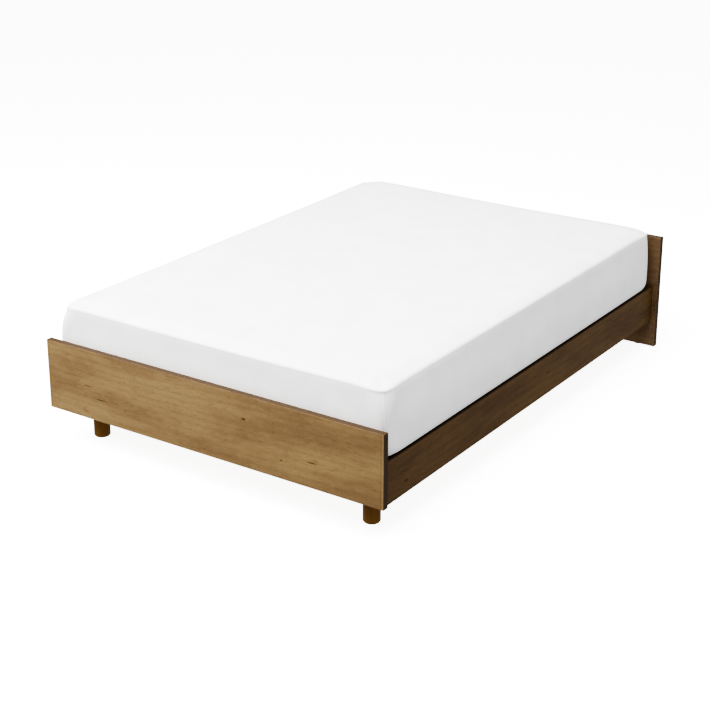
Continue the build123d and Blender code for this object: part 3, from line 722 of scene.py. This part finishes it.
mattress.data.materials.append(quilted_ticking())
subdivision = mattress.modifiers.new("smooth", "SUBSURF")
subdivision.levels = subdivision.render_levels = 1
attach(mattress, "mattress")
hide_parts("mattress")
print("ticking on:", mattress.name)

# %% [markdown]
# ## The fitted sheet
# A fitted sheet is one flat cut of cotton with a square taken out of each corner. Each corner is
# sewn up into a short seam, and an elastic hem pulls the cloth under the mattress. It is pulled
# tight, so it takes the mattress's own shape and lies a millimetre off it. It could be draped
# with a second simulation, but a stretched sheet has no free folds to find. So it is built on
# the filled mattress: the same grid and rings, moved out by the cloth's thickness, and two more
# rings turned under for the hem.

# %% Build the sheet on the mattress
CLOTH = 0.001           # thickness of the cotton
HEM = 0.062             # turned under, from the side of the mattress
HEM_RINGS = 2

hem_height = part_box("fitted_sheet")[0].z + CLOTH * 0.5
ticking_normals = np.array([v.normal[:] for v in mattress.data.vertices])
wrapped = form + ticking_normals * CLOTH * 1.5
wrapped[:, 2] = np.maximum(wrapped[:, 2], hem_height)
sheet_points = list(wrapped[:underside])
sheet_faces = [face for face in faces if max(face) < underside]
turned_under = np.linspace(EDGE_INSET - LOW_EDGE, EDGE_INSET - HEM, HEM_RINGS + 1)[1:]
hem_rings = []
for out in turned_under:
    first = len(sheet_points)
    sheet_points += list(ring_at(out, hem_height))
    hem_rings.append(list(range(first, first + len(rim))))
for upper, lower in zip([rings[-1]] + hem_rings, hem_rings):
    sheet_faces += band_faces(upper, lower)

sheet = mesh_object("cotton_fitted_sheet", sheet_points, sheet_faces)
smooth = sheet.modifiers.new("smooth", "SUBSURF")
smooth.levels = smooth.render_levels = 2
thick = sheet.modifiers.new("cloth thickness", "SOLIDIFY")
thick.thickness = CLOTH
thick.offset = -1.0
print("sheet mesh:", len(sheet.data.vertices), "points")

# %% [markdown]
# ## The corner seams
# Where the tailor took a square out of each corner, the two edges are sewn together and felled
# flat, which leaves a narrow ridge down each corner of the sheet. A displacement map could draw
# it, but the mesh there is too coarse, so each seam is its own strip of cloth with a rounded
# back, laid on the points of the sheet that lie down the middle of the corner.

# %% Sew the four corner seams
SEAM_HALF_WIDTH = 0.0035
SEAM_HEIGHT = 0.0012
SEAM_SUNK = 0.15        # share of its height that lies in the sheet
SEAM_FROM = 7           # it starts at the last ring of the rolled edge
SEAM_SECTION = [(-1.0, 0.0), (-0.7, 0.75), (0.0, 1.0), (0.7, 0.75), (1.0, 0.0)]
sheet_form = np.array([v.co for v in sheet.data.vertices])
sheet_normals = np.array([v.normal[:] for v in sheet.data.vertices])


def corner_seam(name, column):
    """A narrow ridge down one corner, from the top edge to the hem."""
    line = [ring[column] for ring in rings[SEAM_FROM:] + hem_rings]
    across = np.cross(outward[column].tolist() + [0.0], (0.0, 0.0, 1.0))
    ridge = [sheet_form[k] + across * SEAM_HALF_WIDTH * side
             + sheet_normals[k] * SEAM_HEIGHT * (rise - SEAM_SUNK)
             for k in line for side, rise in SEAM_SECTION]
    wide = len(SEAM_SECTION)
    quads = [[a, a + 1, a + 1 + wide, a + wide] for r in range(len(line) - 1)
             for a in range(r * wide, r * wide + wide - 1)]
    seam = mesh_object(name, ridge, quads)
    rounding = seam.modifiers.new("smooth", "SUBSURF")
    rounding.levels = rounding.render_levels = 2
    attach(seam, "mattress")
    return seam


# Where the walk round the rim is in the middle of each corner.
corner_columns = [0, columns - 1, columns + rows - 2, 2 * columns + rows - 3]
seams = [corner_seam(f"sheet_corner_seam_{n + 1}", column)
         for n, column in enumerate(corner_columns)]
print("corner seams:", len(seams))

# %% [markdown]
# ## Cotton percale
# Bleached percale is a plain weave of fine matt threads, about 0.3 mm apart. It scatters light
# softly, with a faint bright edge where the fibres stand up, which is what sheen adds. The weave
# is drawn at 1.2 mm so that it shows at all, and very shallow. Ironed cotton is never perfectly
# flat, so a slow unevenness of a few centimetres lies under it.

# %% The cotton
SHOWN_THREAD = 0.0012           # real threads are 0.3 mm apart
SLUBS = (12.0, 260.0, 260.0)    # in a metre: thick yarns repeat each 80 mm along, 4 mm across


def cotton_percale():
    """White plain weave with slubs, over a slow unevenness."""
    material, tree, shader = surface("cotton_percale", "ebebeb", Roughness=0.85, Sheen_Weight=0.12,
                                     Sheen_Roughness=0.4, Specular_IOR_Level=0.25)
    place = add(tree, "TexCoord", out="Object")
    threads = (math.pi / SHOWN_THREAD,) * 3
    waves = add(tree, "VectorMath", (place, threads), operation="MULTIPLY")
    waves = add(tree, "VectorMath", [waves], operation="SINE")
    weave = add(tree, "VectorMath", (waves, (1.0,) * 3), operation="DOT_PRODUCT", out="Value")
    slow = add(tree, "TexNoise", {"Vector": place, "Scale": 9.0, "Detail": 3.0})
    stretched = add(tree, "VectorMath", (place, SLUBS), operation="MULTIPLY")
    slubs = add(tree, "TexNoise", {"Vector": stretched, "Scale": 1.0, "Detail": 2.0})
    share = add(tree, "MapRange", (slow, 0.3, 0.7), **SOFT_STEP)
    colour = add(tree, "Mix", {0: share, 6: linear("e8e8e9"), 7: linear("eeeeed")}, **OF_COLOURS)
    share = add(tree, "MapRange", (slubs, 0.55, 0.8, 0.0, 0.3), **SOFT_STEP)
    colour = add(tree, "Mix", {0: share, 6: colour, 7: linear("dededf")}, **OF_COLOURS)
    height = add(tree, "Math", (weave, 0.02, slow), operation="MULTIPLY_ADD")
    relief = add(tree, "Bump", {"Strength": 0.35, "Distance": 0.0025, "Height": height})
    join(shader, Base_Color=colour, Normal=relief)
    return material


cotton = cotton_percale()
for cloth_piece in [sheet] + seams:
    cloth_piece.data.materials.append(cotton)
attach(sheet, "mattress")
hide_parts("fitted_sheet")
print("cotton on:", 1 + len(seams), "pieces")

# %% [markdown]
# The sheet was cut from a rectangle as wide as the mattress, both its sides and both hems.

# %% [markdown]
# ## The studio
# A large pale floor and an even white sky are enough here. A soft box stands at the front left,
# so the foot end is bright and the right side falls into shade, and a second one hangs overhead
# for the top. The floor is lit evenly by itself, and passes on none of that light, so the shaded
# side keeps its depth.

# %% The floor
def studio_floor():
    """Pale matt vinyl with a barely visible unevenness, and a light of its own."""
    material, tree, shader = surface("pale_matt_floor", "f2f2f2", Roughness=0.9,
                                     Specular_IOR_Level=0.1, Emission_Color=linear("ffffff"),
                                     Emission_Strength=2.0)
    place = add(tree, "TexCoord", out="Object")
    slow = add(tree, "TexNoise", {"Vector": place, "Scale": 0.7, "Detail": 2.0})
    colour = add(tree, "Mix", {0: slow, 6: linear("f0f0f0"), 7: linear("f4f4f4")}, **OF_COLOURS)
    join(shader, Base_Color=colour)
    return material


FLOOR_RADIUS = 40.0
around = np.linspace(0, 2 * math.pi, 97)[:-1]
disc = [(FLOOR_RADIUS * math.cos(a), FLOOR_RADIUS * math.sin(a), 0.0) for a in around]
floor = mesh_object("studio_floor", disc, [list(range(len(disc)))])
floor.data.materials.append(studio_floor())
floor.visible_diffuse = False
floor.visible_glossy = False
print("floor radius:", FLOOR_RADIUS, "m")

# %% The sky
SKY_LIGHT = 0.62        # strength of the sky as a light
SKY_SHOWN = 3.0         # strength of the sky as a backdrop
world = bpy.data.worlds.new("studio_sky")
world.use_nodes = True
scene.world = world
sky = world.node_tree.nodes["Background"]
sky.inputs["Color"].default_value = linear("ffffff")
seen = add(world.node_tree, "LightPath", out="Is Camera Ray")
strength = add(world.node_tree, "Math", (seen, SKY_SHOWN - SKY_LIGHT, SKY_LIGHT),
               operation="MULTIPLY_ADD")
join(sky, Strength=strength)
print("the sky lights at", SKY_LIGHT, "and is seen at", SKY_SHOWN)

# %% Soft boxes
def soft_box(name, place, aim, size, watts):
    """A square area light that faces the point aim."""
    lamp = bpy.data.lights.new(name, "AREA")
    lamp.shape = "SQUARE"
    lamp.size = size
    lamp.energy = watts
    holder = bpy.data.objects.new(name, lamp)
    holder.location = place
    direction = np.array(aim) - np.array(place)
    level = math.hypot(direction[0], direction[1])
    holder.rotation_euler = (math.atan2(level, -direction[2]), 0.0,
                             math.atan2(direction[1], direction[0]) - math.pi / 2)
    scene.collection.objects.link(holder)
    return holder


front_left = soft_box("front_left_box", place=(-2.7, -3.1, 3.3), aim=(-0.1, -0.3, 0.3),
                      size=2.6, watts=238.0)
overhead = soft_box("overhead_box", place=(0.6, -1.0, 4.2), aim=(0.0, -0.3, 0.4),
                    size=3.2, watts=240.0)
scene.view_settings.view_transform = "AgX"
scene.view_settings.look = "AgX - Very High Contrast"
print("soft boxes:", front_left.name, "and", overhead.name)

# %% [markdown]
# ## The camera
# The bed is seen from its foot end, from the right and from above, with a long lens, so that its
# far end is only a little smaller than the near one. The lens is shifted down a little, which
# keeps the upright edges nearly upright.

# %% Place the camera
CAMERA_PLACE = (3.185, -4.821, 2.491)
LOOKS_DOWN = 19.59      # degrees below level
TURNED_LEFT = 34.24     # degrees from looking straight along the bed
FOCAL_LENGTH = 81.3     # millimetres, for a sensor 36 mm wide

lens = bpy.data.cameras.new("foot_end_camera")
lens.sensor_width = 36.0
lens.lens = FOCAL_LENGTH
lens.shift_y = -0.1
lens.clip_end = 200.0
camera = bpy.data.objects.new("foot_end_camera", lens)
camera.location = CAMERA_PLACE
camera.rotation_euler = (math.radians(90.0 - LOOKS_DOWN), 0.0, math.radians(TURNED_LEFT))
scene.collection.objects.link(camera)
scene.camera = camera
print("camera to the middle of the floor:", round(camera.location.length, 2), "m")
